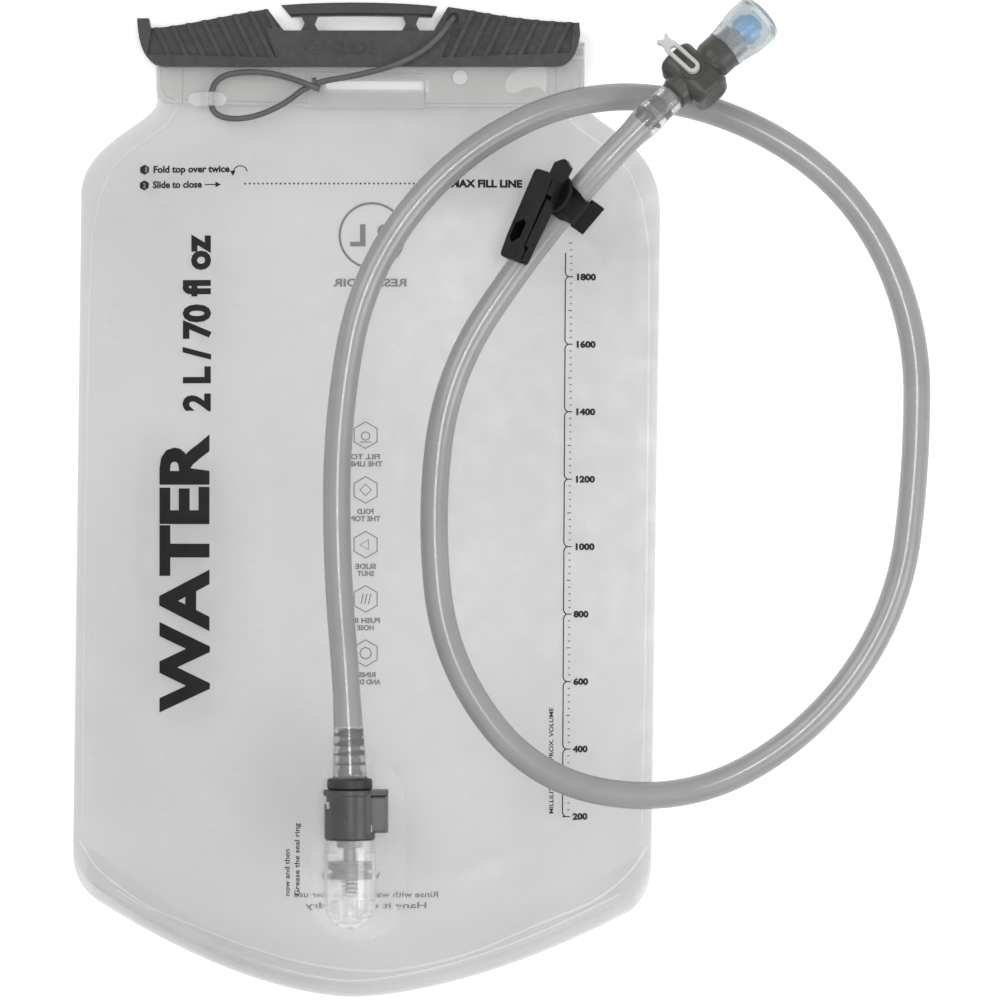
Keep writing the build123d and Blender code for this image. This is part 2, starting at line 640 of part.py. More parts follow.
def clip_jaw():
    """Outer jaw, hinged on the pin between the base jaw's ears."""
    half = JAW_WIDTH / 2
    arm = make_face(Polyline(
        (JAW_TIP + 0.6, 13.3), (JAW_TIP - 4, 13.3), (JAW_TIP - 5, 14.6), (PIN_X + 2, 15.6),
        (PIN_X, 15.8), (-4.2, 16.4), (-4.6, 17.8), (PIN_X, 17.6), (20, 16.6),
        (JAW_TIP + 0.6, 15.6), close=True))
    jaw = Pos(0, half, 0) * extrude(Plane.XZ * arm, JAW_WIDTH)
    jaw &= fillet(box((-4.6, JAW_TIP + 0.6), (-half, half), (0, 30)).edges().filter_by(Axis.Z), 1.6)
    for side in (-1, 1):
        y = sorted((side * (half - 2.2), side * (half - 1.15)))
        jaw += box((PIN_X - 1.5, PIN_X + 1.5), y, (PIN_Z - 1.3, 16.4))
    window = make_face(Polyline((13.2, 0.6), (15.4, -2.4), (20.6, -2.4), (22.2, -0.6),
                                (19.6, 2.4), (14.4, 2.4), close=True))
    jaw -= extrude(window, 30)
    return jaw - Pos(PIN_X, 0, PIN_Z) * Rot(90, 0, 0) * Cylinder(0.82, 20)


def clip_pin():
    return Pos(PIN_X, 0, PIN_Z) * Rot(90, 0, 0) * Cylinder(0.78, JAW_WIDTH)


def clip_spring():
    """Coil of the jaws' spring, on the pin."""
    return Pos(PIN_X, 1.5, PIN_Z) * Rot(90, 0, 0) * coil(1.15, 0.28, 3.0, 0.75)


# ---------------------------------------------------------------- files

bag = {
    "front_panel": front_panel,
    "back_panel": back_panel,
    "bottom_gusset": bottom_gusset,
    "closure_flap": closure_flap,
    "tether_tab": tether_tab,
    "slide_closure": slide_closure,
    "tether_knot": tether_knot,
    "tether_eye": tether_eye,
    "tether_cord": tether_cord,
    "drink_tube": drink_tube,
}
coupling = {
    "hose_plug": hose_plug,
    "plug_oring": plug_oring,
    "coupling_housing": coupling_housing,
    "release_button": release_button,
    "button_spring": button_spring,
    "port_body": port_body,
    "shutoff_poppet": shutoff_poppet,
    "poppet_seal": poppet_seal,
    "poppet_spring": poppet_spring,
}
bite_valve = {
    "valve_stem": valve_stem,
    "stem_seal_ring": stem_seal_ring,
    "valve_body": valve_body,
    "shutoff_core": shutoff_core,
    "core_oring": core_oring,
    "shutoff_lever": shutoff_lever,
    "mouthpiece": mouthpiece,
    "bite_core": bite_core,
}
clip = {
    "clip_rivet": clip_rivet,
    "clip_base_jaw": clip_base_jaw,
    "clip_jaw": clip_jaw,
    "clip_pin": clip_pin,
    "clip_spring": clip_spring,
}

for name, make in bag.items():
    save(make(), name)
save(closure_rail(FLAP_TOP + 0.02), "front_closure_rail")
save(closure_rail(NECK_LIFT - RAIL_HEIGHT - 0.02), "back_closure_rail")
for frame, pieces in ((PORT, coupling), (VALVE, bite_valve), (CLIP, clip)):
    for name, make in pieces.items():
        save(frame.location * make(), name)
save(SADDLE.location * clip_collar(), "clip_collar")

for name, frame in (("port", PORT), ("valve", VALVE), ("saddle", SADDLE), ("clip", CLIP)):
    print(name, "origin", frame.origin, "x", frame.x_dir, "y", frame.y_dir, "z", frame.z_dir)
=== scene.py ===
import math

import bmesh
import bpy
from mathutils import Matrix, Vector, noise


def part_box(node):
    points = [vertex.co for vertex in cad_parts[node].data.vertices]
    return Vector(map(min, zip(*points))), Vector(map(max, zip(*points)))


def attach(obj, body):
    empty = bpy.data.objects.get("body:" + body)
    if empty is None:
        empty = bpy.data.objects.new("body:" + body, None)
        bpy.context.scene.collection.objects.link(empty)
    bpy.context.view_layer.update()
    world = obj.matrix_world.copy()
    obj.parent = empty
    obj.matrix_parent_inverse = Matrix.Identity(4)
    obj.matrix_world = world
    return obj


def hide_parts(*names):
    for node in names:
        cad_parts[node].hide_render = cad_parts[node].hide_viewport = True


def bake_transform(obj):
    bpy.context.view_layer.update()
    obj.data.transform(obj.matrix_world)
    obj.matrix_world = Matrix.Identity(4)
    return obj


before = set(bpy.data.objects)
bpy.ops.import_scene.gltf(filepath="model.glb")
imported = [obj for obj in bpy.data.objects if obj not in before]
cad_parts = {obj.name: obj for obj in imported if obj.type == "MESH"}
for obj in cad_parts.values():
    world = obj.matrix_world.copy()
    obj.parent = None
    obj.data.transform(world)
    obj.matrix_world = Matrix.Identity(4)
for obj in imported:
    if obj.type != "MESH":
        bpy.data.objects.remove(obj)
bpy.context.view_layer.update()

# Looks of a drinking reservoir lying on its back. Shapes are given in millimetres, in the frame
# of the model, and become metres in their meshes. +X right, +Y to the slide closure, +Z up.
# Camera, lights and the sizes inside materials are in metres.

MM = 0.001
PER_METRE = 1000
back_low, back_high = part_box("back_panel")
SIDE = back_high.x * PER_METRE
BOTTOM = back_low.y * PER_METRE
FLAP_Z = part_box("closure_flap")[1].z * PER_METRE

bpy.context.scene.view_settings.view_transform = "Standard"


# ---------------------------------------------------------------- camera

LENS = 200
SENSOR = 36
SEEN_WIDTH = 0.345        # metres across the picture at the focus height
FOCUS_HEIGHT = 0.010

camera = bpy.data.objects.new("camera", bpy.data.cameras.new("camera"))
bpy.context.collection.objects.link(camera)
camera.data.lens = LENS
camera.data.clip_start = 0.1
camera.data.clip_end = 20
camera.location = (0.0462, 0.0003, SEEN_WIDTH * LENS / SENSOR + FOCUS_HEIGHT)
bpy.context.scene.camera = camera


# ---------------------------------------------------------------- materials

def new_material(name, base, roughness, **sockets):
    """A Principled material with constant values on its sockets."""
    made = bpy.data.materials.new(name)
    made.use_nodes = True
    shader = made.node_tree.nodes["Principled BSDF"]
    shader.inputs["Base Color"].default_value = (*base, 1)
    shader.inputs["Roughness"].default_value = roughness
    for socket, value in sockets.items():
        shader.inputs[socket.replace("_", " ")].default_value = value
    return made, made.node_tree, shader


def add(tree, kind, **inputs):
    node = tree.nodes.new(kind)
    for name, value in inputs.items():
        node.inputs[name.replace("_", " ")].default_value = value
    return node


def object_noise(tree, scale, detail=4.0, stretch=(1, 1, 1), distortion=0.0):
    """Noise in the model's own coordinates, so that it stays on the object."""
    place = tree.nodes.new("ShaderNodeTexCoord")
    mapping = tree.nodes.new("ShaderNodeMapping")
    mapping.inputs["Scale"].default_value = stretch
    cloud = add(tree, "ShaderNodeTexNoise", Scale=scale, Detail=detail, Distortion=distortion)
    tree.links.new(place.outputs["Object"], mapping.inputs["Vector"])
    tree.links.new(mapping.outputs["Vector"], cloud.inputs["Vector"])
    return cloud.outputs["Fac"]


def remap(tree, source, low, high, start=0.3, end=0.7):
    node = add(tree, "ShaderNodeMapRange", From_Min=start, From_Max=end, To_Min=low, To_Max=high)
    tree.links.new(source, node.inputs["Value"])
    return node.outputs["Result"]


def vary_colour(tree, shader, source, first, second, start=0.35, end=0.65):
    """Base colour that drifts between two close tones."""
    ramp = tree.nodes.new("ShaderNodeValToRGB")
    ramp.color_ramp.elements[0].position = start
    ramp.color_ramp.elements[0].color = (*first, 1)
    ramp.color_ramp.elements[1].position = end
    ramp.color_ramp.elements[1].color = (*second, 1)
    tree.links.new(source, ramp.inputs["Fac"])
    tree.links.new(ramp.outputs["Color"], shader.inputs["Base Color"])


def bump(tree, shader, source, distance, strength=1.0, under=None):
    node = add(tree, "ShaderNodeBump", Strength=strength, Distance=distance)
    tree.links.new(source, node.inputs["Height"])
    if under:
        tree.links.new(under.outputs["Normal"], node.inputs["Normal"])
    tree.links.new(node.outputs["Normal"], shader.inputs["Normal"])
    return node


def film_material(name, tone, alpha, roughness=0.32):
    """Milky TPU film: cloudy, with long soft ripples and a fine matt grain."""
    made, tree, shader = new_material(name, tone, roughness, Alpha=alpha)
    cloud = object_noise(tree, 14, 3)
    lighter = [min(c * 1.05, 1) for c in tone]
    darker = [c * 0.95 for c in tone]
    vary_colour(tree, shader, cloud, darker, lighter)
    tree.links.new(remap(tree, object_noise(tree, 30, 5), alpha * 0.95, min(alpha * 1.05, 1)),
                   shader.inputs["Alpha"])
    tree.links.new(remap(tree, object_noise(tree, 120, 6), roughness - 0.06, roughness + 0.08),
                   shader.inputs["Roughness"])
    ripples = bump(tree, shader, object_noise(tree, 26, 2, (1, 0.35, 1), 0.6), 0.0012, 0.35)
    bump(tree, shader, object_noise(tree, 1900, 3), 0.00004, 0.5, ripples)
    return made


def moulded(name, tone, roughness, grain=0.00003, spread=0.12, scale=1500, **sockets):
    """Moulded plastic: slow drift of tone, flow marks and a fine eroded texture."""
    made, tree, shader = new_material(name, tone, roughness, **sockets)
    drift = object_noise(tree, 90, 5, (1, 1, 1), 0.8)
    darker = [c * (1 - spread) for c in tone]
    lighter = [c * (1 + spread) for c in tone]
    vary_colour(tree, shader, drift, darker, lighter)
    tree.links.new(remap(tree, object_noise(tree, 400, 5), roughness - 0.07, roughness + 0.09),
                   shader.inputs["Roughness"])
    flow = bump(tree, shader, object_noise(tree, 160, 2), 0.00025, 0.25)
    bump(tree, shader, object_noise(tree, scale, 4), grain, 0.9, flow)
    return made


def clear_moulded(name, tone, roughness, through=1.0, density=0.0, ior=1.45, grain=0.00002):
    """Clear or milky plastic: it refracts, and its thickness takes light away."""
    made, tree, shader = new_material(name, tone, roughness, Transmission_Weight=through, IOR=ior)
    tree.links.new(remap(tree, object_noise(tree, 300, 4), roughness * 0.8, roughness * 1.3),
                   shader.inputs["Roughness"])
    cloud = object_noise(tree, 60, 4)
    vary_colour(tree, shader, cloud, [c * 0.95 for c in tone], [min(c * 1.04, 1) for c in tone])
    bump(tree, shader, object_noise(tree, 700, 3), grain, 0.4)
    if density:
        volume = tree.nodes.new("ShaderNodeVolumeAbsorption")
        volume.inputs["Color"].default_value = (0.42, 0.42, 0.41, 1)
        volume.inputs["Density"].default_value = density
        output = tree.nodes["Material Output"]
        tree.links.new(volume.outputs["Volume"], output.inputs["Volume"])
    return made


def thin_below(made, level, alpha):
    """Below a level the moulding is as thin as film, so most of it is see-through."""
    tree = made.node_tree
    place = tree.nodes.new("ShaderNodeTexCoord")
    axes = tree.nodes.new("ShaderNodeSeparateXYZ")
    tree.links.new(place.outputs["Object"], axes.inputs["Vector"])
    share = remap(tree, axes.outputs["Z"], alpha, 1.0, (level - 0.1) * MM, level * MM)
    tree.links.new(share, tree.nodes["Principled BSDF"].inputs["Alpha"])


FILM = film_material("film", (0.53, 0.53, 0.525), 0.31)
BACK_FILM = film_material("back_film", (0.50, 0.50, 0.495), 0.60)
GUSSET = film_material("gusset_film", (0.62, 0.62, 0.615), 0.22)
FLAP = film_material("flap_film", (0.525, 0.525, 0.515), 0.36)
WELD = film_material("weld", (0.74, 0.74, 0.73), 0.42, 0.22)
WELD_FAINT = film_material("weld_faint", (0.74, 0.74, 0.73), 0.26, 0.22)
WELD_DARK = film_material("weld_shadow", (0.30, 0.30, 0.30), 0.40, 0.3)
PLY_DARK = film_material("gusset_shadow", (0.52, 0.52, 0.52), 0.07, 0.3)
TAB = film_material("tab_film", (0.88, 0.88, 0.87), 0.22, 0.12)
INK = moulded("ink", (0.008, 0.008, 0.008), 0.5, 0.00001, 0.3, 900, Specular_IOR_Level=0.2)
INK_BEHIND = moulded("ink_behind", (0.012, 0.012, 0.012), 0.6, 0.00001, 0.2, 900,
                     Specular_IOR_Level=0.1)
SLIDE = moulded("slide_grey", (0.037, 0.037, 0.038), 0.46, 0.00006, 0.10, 1300,
                Specular_IOR_Level=0.3)
TETHER = moulded("tether", (0.085, 0.085, 0.084), 0.55, 0.00003, 0.15, 2400,
                 Specular_IOR_Level=0.4)
COUPLING = moulded("coupling_grey", (0.056, 0.056, 0.055), 0.34, 0.00002, 0.10, 1500,
                   Specular_IOR_Level=0.35)
# The release button is the coupling's grey made lighter: this is painted light, since the button
# is the same plastic as the housing.
BUTTON = moulded("button_grey_painted_light", (0.088, 0.088, 0.086), 0.34, 0.00002, 0.10, 1500,
                 Specular_IOR_Level=0.35)
PLUG = moulded("plug_grey", (0.034, 0.034, 0.033), 0.40, 0.00002, 0.10, 1500,
               Specular_IOR_Level=0.25)
VALVE = moulded("valve_grey", (0.052, 0.052, 0.047), 0.36, 0.00003, 0.10, 1400,
                Specular_IOR_Level=0.35)
RUBBER = moulded("black_rubber", (0.015, 0.015, 0.015), 0.45, 0.00001, 0.2, 2000)
CLIP = moulded("clip_black", (0.006, 0.006, 0.006), 0.30, 0.00004, 0.25, 1300,
               Specular_IOR_Level=0.22)
SADDLE = moulded("saddle_black", (0.005, 0.005, 0.005), 0.42, 0.00003, 0.2, 1300,
                 Specular_IOR_Level=0.15)
STEEL = moulded("steel_spring", (0.55, 0.55, 0.55), 0.28, 0.00001, 0.08, 2200, Metallic=1.0)
HOSE = clear_moulded("hose_milky", (0.355, 0.355, 0.352), 0.20, 0.35, 0.0, 1.45, 0.00001)
HOSE_THIN = clear_moulded("hose_stretched", (0.78, 0.78, 0.775), 0.14, 0.88, 60.0, 1.40, 0.00001)
PORT = clear_moulded("port_clear", (0.93, 0.93, 0.925), 0.12, 0.88, 6.0, 1.42)
BITE = clear_moulded("bite_clear", (0.66, 0.71, 0.735), 0.22, 0.86, 45.0, 1.30, 0.000002)
FLANGE_THICK = 1.6
thin_below(PORT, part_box("port_body")[0].z * PER_METRE + FLANGE_THICK, 0.14)
LEVER = moulded("lever_clear", (0.56, 0.56, 0.55), 0.24, 0.00002, 0.05, 1200, Alpha=0.78)
BLUE = moulded("bite_blue", (0.010, 0.20, 0.40), 0.45, 0.00002, 0.15, 900,
               Specular_IOR_Level=0.2)


# ---------------------------------------------------------------- mesh helpers

def mesh_object(name, points, faces, material, body):
    """A smooth mesh from millimetre points, riding on a body."""
    mesh = bpy.data.meshes.new(name)
    mesh.from_pydata([Vector(p) * MM for p in points], [], faces)
    mesh.validate()
    made = bpy.data.objects.new(name, mesh)
    bpy.context.collection.objects.link(made)
    mesh.materials.append(material)
    mesh.polygons.foreach_set("use_smooth", [True] * len(mesh.polygons))
    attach(made, body)
    return made


def spline_points(route, per_run):
    """Points read from the smooth spline that has the route's points as its control points."""
    curve = bpy.data.curves.new("route", "CURVE")
    curve.dimensions = "3D"
    curve.resolution_u = per_run
    spline = curve.splines.new("NURBS")
    spline.points.add(len(route) - 1)
    for point, place in zip(spline.points, route):
        point.co = (*[c * MM for c in place], 1)
    spline.order_u = 3
    spline.use_endpoint_u = True
    holder = bpy.data.objects.new("route", curve)
    bpy.context.collection.objects.link(holder)
    bpy.context.view_layer.update()
    mesh = bpy.data.meshes.new_from_object(holder)
    points = [v.co * PER_METRE for v in mesh.vertices]
    bpy.data.objects.remove(holder)
    return points


def even(path, step):
    """The same line with its points step apart."""
    lengths = [0.0]
    for a, b in zip(path, path[1:]):
        lengths.append(lengths[-1] + (b - a).length)
    count = max(2, round(lengths[-1] / step))
    made, n = [], 0
    for k in range(count + 1):
        at = lengths[-1] * k / count
        while n < len(lengths) - 2 and lengths[n + 1] < at:
            n += 1
        span = lengths[n + 1] - lengths[n]
        made.append(path[n].lerp(path[n + 1], (at - lengths[n]) / span if span else 0))
    return made


def path_length(path):
    return sum((b - a).length for a, b in zip(path, path[1:]))


def frames(path):
    """A direction and two normals at each point, turning as little as they can."""
    made = []
    normal = None
    for n, point in enumerate(path):
        ahead = (path[min(n + 1, len(path) - 1)] - path[max(n - 1, 0)]).normalized()
        if normal is None:
            normal = ahead.orthogonal().normalized()
        normal = (normal - ahead * normal.dot(ahead)).normalized()
        made.append((point, normal, ahead.cross(normal)))
    return made


def ring_points(path, radius, sides):
    """Points of a tube round a path; radius is a number or a function of the length run."""
    points, run = [], 0.0
    for n, (point, a, b) in enumerate(frames(path)):
        if n:
            run += (path[n] - path[n - 1]).length
        r = radius(run) if callable(radius) else radius
        for k in range(sides):
            angle = 2 * math.pi * k / sides
            points.append(point + a * r * math.cos(angle) + b * r * math.sin(angle))
    return points


def ring_faces(rows, sides, first=0, flip=False):
    faces = []
    for n in range(rows - 1):
        for k in range(sides):
            a, b = first + n * sides + k, first + n * sides + (k + 1) % sides
            face = (a, b, b + sides, a + sides)
            faces.append(face[::-1] if flip else face)
    return faces


def hollow_tube(name, path, outer, inner, sides, material, body):
    """A tube with a bore: two walls joined at both ends."""
    rows = len(path)
    points = ring_points(path, outer, sides) + ring_points(path, inner, sides)
    offset = rows * sides
    faces = ring_faces(rows, sides) + ring_faces(rows, sides, offset, True)
    for row, flip in ((0, True), (rows - 1, False)):
        for k in range(sides):
            a, b = row * sides + k, row * sides + (k + 1) % sides
            face = (a, b, b + offset, a + offset)
            faces.append(face if not flip else face[::-1])
    return mesh_object(name, points, faces, material, body)


def solid_tube(name, path, radius, sides, material, body):
    """A closed round cord with flat ends."""
    rows = len(path)
    points = ring_points(path, radius, sides)
    faces = ring_faces(rows, sides)
    faces.append(tuple(range(sides))[::-1])
    faces.append(tuple((rows - 1) * sides + k for k in range(sides)))
    return mesh_object(name, points, faces, material, body)


# ---------------------------------------------------------------- hose and tether

HOSE_ROUTE = [
    (-5.2, -95.0, 25.4), (-5.7, -70.0, 25.0), (-10.0, -21.0, 20.3), (-9.6, 29.0, 20.3),
    (-0.8, 78.0, 20.4), (30.0, 118.5, 19.8), (76.0, 141.5, 16.6), (126.0, 135.5, 5.3),
    (168.5, 107.5, 5.0), (190.5, 62.0, 5.0), (190.3, 11.5, 5.0), (184.0, -37.5, 5.0),
    (155.0, -79.5, 5.0), (111.0, -104.5, 7.2), (59.0, -97.0, 18.2), (27.5, -56.0, 20.4),
    (22.2, -6.0, 20.3), (28.0, 43.5, 20.3), (56.0, 85.5, 20.4), (87.1, 121.9, 30.0),
    (105.3, 138.5, 25.7),
]
TETHER_ROUTE = [
    (30.4, 166.9, 6.0), (30.3, 166.7, 12.2), (24.4, 158.6, 12.0), (14.5, 151.6, 11.8),
    (-2.0, 146.8, 10.4), (-19.0, 144.4, 8.9), (-29.0, 136.3, 8.5), (-41.5, 131.6, 7.9),
    (-52.2, 132.6, 7.7), (-54.2, 139.0, 7.6), (-51.6, 146.4, 7.9), (-41.5, 148.4, 9.0),
    (-28.0, 147.0, 10.6), (-16.0, 142.0, 11.2),
]
HOSE_STEPS = 32           # rings for each point of the route
HOSE_SIDES = 32
HOSE_RADIUS = 4.75
HOSE_WALL = 1.45
OVER_PLUG = 17            # stretched over the plug's barbs for this length
OVER_STEM = 15.2
BARB_PITCH = 3.3

hose_path = spline_points(HOSE_ROUTE, HOSE_STEPS)
hose_length = path_length(hose_path)


def hose_outer(run):
    """Stretched over the plug's barbs at one end and the valve's stem at the other."""
    left = hose_length - run
    flare = 5.95 - 0.85 * min(run / OVER_PLUG, 1)
    flare -= 0.35 * min(max((run - OVER_PLUG) / 11, 0), 1)
    if run < OVER_PLUG:
        flare += 0.10 * math.cos(2 * math.pi * (run + 0.4) / BARB_PITCH)
    stem_bulge = 0.75 * math.exp(-((left - 12.5) / 4.2) ** 2)
    stem_bulge += 0.22 * (1 - min(max((left - 8) / 6, 0), 1))
    return max(flare, HOSE_RADIUS) + stem_bulge


def hose_inner(run):
    return hose_outer(run) - HOSE_WALL


hose = hollow_tube("drinking_hose", hose_path, hose_outer, hose_inner, HOSE_SIDES, HOSE, "hose")
hose.data.materials.append(HOSE_THIN)
runs = [0.0]
for here, there in zip(hose_path, hose_path[1:]):
    runs.append(runs[-1] + (there - here).length)
# The faces are rings of the outer wall and then of the bore, in the same order.
ring_of_face = [n // HOSE_SIDES for n in range(HOSE_SIDES * (len(hose_path) - 1))] * 2
for face, row in zip(hose.data.polygons, ring_of_face):
    if not OVER_PLUG + 0.2 < runs[row] < hose_length - OVER_STEM:
        face.material_index = 1
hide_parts("drink_tube")
hose.visible_shadow = False

TETHER_STEPS = 16
TETHER_SIDES = 20
TETHER_RADIUS = 1.0

tether_path = spline_points(TETHER_ROUTE, TETHER_STEPS)
tether = solid_tube("tether_line", tether_path, TETHER_RADIUS, TETHER_SIDES, TETHER, "reservoir")
tether.parent = None      # it is blended between two bodies and rides on neither
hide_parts("tether_cord")
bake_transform(tether)


# ---------------------------------------------------------------- shape of the bag

NECK_LIFT = 2.6           # the back film rises by this to the fold
PLATEAU = 15.0            # top of the filled part
PLY_STEP = 0.7
HEM = 4.5                 # the front film ends this far above the lower edge
THICK = 0.5
GUSSET_OPEN = 9.0         # height of the opened gusset in the middle
EDGE_LEFT, EDGE_RIGHT = -94, 92     # ends of the lower edge, before the corners
FOLD_LEFT, FOLD_RIGHT = -72.5, 75.4
FOLD_LEG = 153            # the films end here, under the folded top
SLOT = (-14.9, 21.5, 141.4, 145.8)  # opening of the films behind the hang slot


def smooth(t):
    t = min(max(t, 0.0), 1.0)
    return t * t * (3 - 2 * t)


def bottom_edge(x):
    reach = x + 5.0
    return BOTTOM + (0.0172 if reach < 0 else 0.0132) * abs(reach) ** 1.69


def back_height(y):
    return NECK_LIFT * smooth((y - 112) / 36)


FOLDS = [                 # x and y of both ends, width, depth
    (-82, -40, -76, 95, 2.6, 0.45), (-60, 60, -20, 118, 4.0, 0.35),
    (45, 30, 84, 92, 5.0, 0.5), (80, -20, 86, 70, 3.0, 0.4),
    (-36, -128, -60, -84, 4.5, 0.5), (22, -132, 60, -118, 4.0, 0.45),
    (-28, -60, -34, 40, 6.0, 0.35), (-70, 112, -20, 122, 3.2, 0.4),
    (8, 98, 60, 116, 4.0, 0.35), (-90, -100, -60, -130, 4.0, 0.4),
]


def creases(x, y):
    """Soft dents and long folds of a bag with a little air in it."""
    at = Vector((x * 0.011, y * 0.005, 3.7))
    dent = noise.noise(at) * 0.9 + noise.noise(at * 2.7) * 0.45
    for x0, y0, x1, y1, width, depth in FOLDS:
        a, d = Vector((x0, y0)), Vector((x1 - x0, y1 - y0))
        t = min(max((Vector((x, y)) - a).dot(d) / d.length_squared, 0), 1)
        off = (Vector((x, y)) - a - d * t).length
        dent -= depth * math.exp(-(off / width) ** 2) * math.sin(math.pi * (0.1 + 0.8 * t))
    # The port's flange pulls the film flat round itself.
    port = math.hypot((x + 2.6) / 22, (y + 119.4) / 38)
    return (dent - 0.35) * min(max(port - 0.9, 0), 1)


def gusset_height(x):
    return GUSSET_OPEN * (1 - min(abs(x) / 97, 1) ** 2.5)


def film_top(x, y):
    """Top of the front film."""
    narrowing = smooth((y - 104) / 36)
    across = min(abs(x - 1.4 * narrowing) / (95 - 26 * narrowing), 1)
    crown = (1 - across ** 4) ** 1.7
    filled = (PLATEAU - THICK - PLY_STEP) * crown * (1 - smooth((y - 100) / 46))
    gusset = gusset_height(x)
    rise = smooth((y - bottom_edge(x) - HEM) / 18)
    height = back_height(y) + PLY_STEP + gusset + (filled - gusset) * rise + THICK
    free = min(1, crown * 1.6) * rise * (1 - smooth((y - 118) / 20))
    return height + creases(x, y) * free * 0.8


def bezier(controls, t):
    points = [Vector(q) for q in controls]
    while len(points) > 1:
        points = [a.lerp(b, t) for a, b in zip(points, points[1:])]
    return points[0]


def side_profile(points):
    """x as a function of y, from (x, y) points that run upwards."""
    def at(y):
        for (x0, y0), (x1, y1) in zip(points, points[1:]):
            if y <= y1:
                return x0 + (x1 - x0) * (y - y0) / max(y1 - y0, 1e-6)
        return points[-1][0]
    return at


def outline(lift):
    """The bag's left and right edges as functions of y."""
    def curve(controls, count=14):
        return [tuple(bezier(controls, n / count)) for n in range(count + 1)]
    left = curve([(EDGE_LEFT, bottom_edge(EDGE_LEFT) + lift), (-SIDE, -132 + lift),
                  (-SIDE, -122 + lift)])
    left += curve([(-99, 108), (-97, 125), (-73, 131), (FOLD_LEFT, 138)])
    left += [(FOLD_LEFT, FOLD_LEG)]
    right = curve([(EDGE_RIGHT, bottom_edge(EDGE_RIGHT) + lift), (98.7, -136 + lift),
                   (98.7, -125 + lift)])
    right += curve([(SIDE, 100), (SIDE, 126), (77, 130), (FOLD_RIGHT, 138)])
    right += [(FOLD_RIGHT, FOLD_LEG)]
    return side_profile(left), side_profile(right)


def film_grid(lift, columns=150, low_rows=44, rows=190):
    """A grid of (x, y) over the bag: rows follow the lower edge and turn level above it."""
    left, right = outline(lift)
    level = -106.0
    share = [n / columns for n in range(columns + 1)]
    share += [(x - FOLD_LEFT) / (FOLD_RIGHT - FOLD_LEFT) for x in SLOT[:2]]
    share = sorted(share)
    heights = [level + (FOLD_LEG - level) * n / rows for n in range(rows + 1)]
    heights = sorted(heights + list(SLOT[2:]))
    grid = []
    for n in range(low_rows):
        row = []
        for u in share:
            x_low = EDGE_LEFT + (EDGE_RIGHT - EDGE_LEFT) * u
            y_low = bottom_edge(x_low) + lift
            y = y_low + (level - y_low) * n / low_rows
            x = left(y) + (right(y) - left(y)) * u
            if n == 0:
                x = x_low
            row.append((x, y))
        grid.append(row)
    for y in heights:
        grid.append([(left(y) + (right(y) - left(y)) * u, y) for u in share])
    return grid


def film_sheet(name, lift, height, material):
    """One film of the bag, with the hang slot cut out."""
    grid = film_grid(lift)
    wide = len(grid[0])
    points = [(x, y, height(x, y)) for row in grid for x, y in row]
    faces = []
    for n in range(len(grid) - 1):
        for k in range(wide - 1):
            x = (grid[n][k][0] + grid[n][k + 1][0]) / 2
            y = (grid[n][k][1] + grid[n + 1][k][1]) / 2
            if SLOT[0] < x < SLOT[1] and SLOT[2] < y < SLOT[3]:
                continue
            a = n * wide + k
            faces.append((a, a + 1, a + 1 + wide, a + wide))
    return mesh_object(name, points, faces, material, "reservoir")


front = film_sheet("front_film", HEM, film_top, FILM)
back = film_sheet("back_film", 0, lambda x, y: back_height(y) + 0.25, BACK_FILM)
for piece, node in ((front, "front_panel"), (back, "back_panel")):
    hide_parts(node)


def strip(points, width, lift, surface):
    """Mesh data of a flat strip along (x, y) points, laid on a surface."""
    rows = []
    path = even([Vector((x, y, 0)) for x, y in points], 1.5)
    for n, p in enumerate(path):
        ahead = (path[min(n + 1, len(path) - 1)] - path[max(n - 1, 0)]).normalized()
        side = Vector((-ahead.y, ahead.x, 0)) * width / 2
        for q in (p - side, p + side):
            rows.append((q.x, q.y, surface(q.x, q.y) + lift))
    faces = [(2 * n, 2 * n + 1, 2 * n + 3, 2 * n + 2) for n in range(len(path) - 1)]
    return rows, faces


def joined(name, pieces, material):
    """One object on the bag from several lots of mesh data."""
    points, faces = [], []
    for some_points, some_faces in pieces:
        base = len(points)
        points += some_points
        faces += [tuple(base + i for i in face) for face in some_faces]
    made = mesh_object(name, points, faces, material, "reservoir")
    return made


# ---------------------------------------------------------------- gusset and welds

def along_bottom(low=-95, high=93, step=3.0):
    count = int((high - low) / step)
    stations = [low + (high - low) * n / count for n in range(count + 1)]
    return [(x, bottom_edge(x)) for x in stations]


def gusset_sheet():
    """The folded gusset film: from the back film's hem up to the front film's edge."""
    points, faces = [], []
    stations = along_bottom()
    profile = ((0, 1.0), (0.05, 3.0), (0.3, 4.6), (0.55, 5.4), (0.8, 5.2), (1, 4.6))
    for x, y in stations:
        for share, reach in profile:
            height = THICK + 0.1 + (gusset_height(x) + 0.3) * share
            points.append((x, y + reach, height))
    wide = len(profile)
    for n in range(len(stations) - 1):
        for k in range(wide - 1):
            a = n * wide + k
            faces.append((a, a + wide, a + wide + 1, a + 1))
    return mesh_object("gusset_film", points, faces, GUSSET, "reservoir")


gusset = gusset_sheet()
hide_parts("bottom_gusset")


def gusset_band():
    """The inner ply of the gusset, seen through the front film."""
    points, faces = [], []
    stations = along_bottom(-97, 95)
    shares = (0.0, 0.25, 0.5, 0.75, 1.0)
    for x, y_edge in stations:
        reach = 10.0 + 7.0 * min(abs(x + 5) / 90, 1) ** 1.5
        for share in shares:
            y = y_edge + HEM + (reach - HEM) * share
            points.append((x, y, max(film_top(x, y) - 0.9, 0.7)))
    wide = len(shares)
    for n in range(len(stations) - 1):
        for k in range(wide - 1):
            a = n * wide + k
            faces.append((a, a + wide, a + wide + 1, a + 1))
    return points, faces


joined("gusset_inner_ply", [gusset_band()], GUSSET)


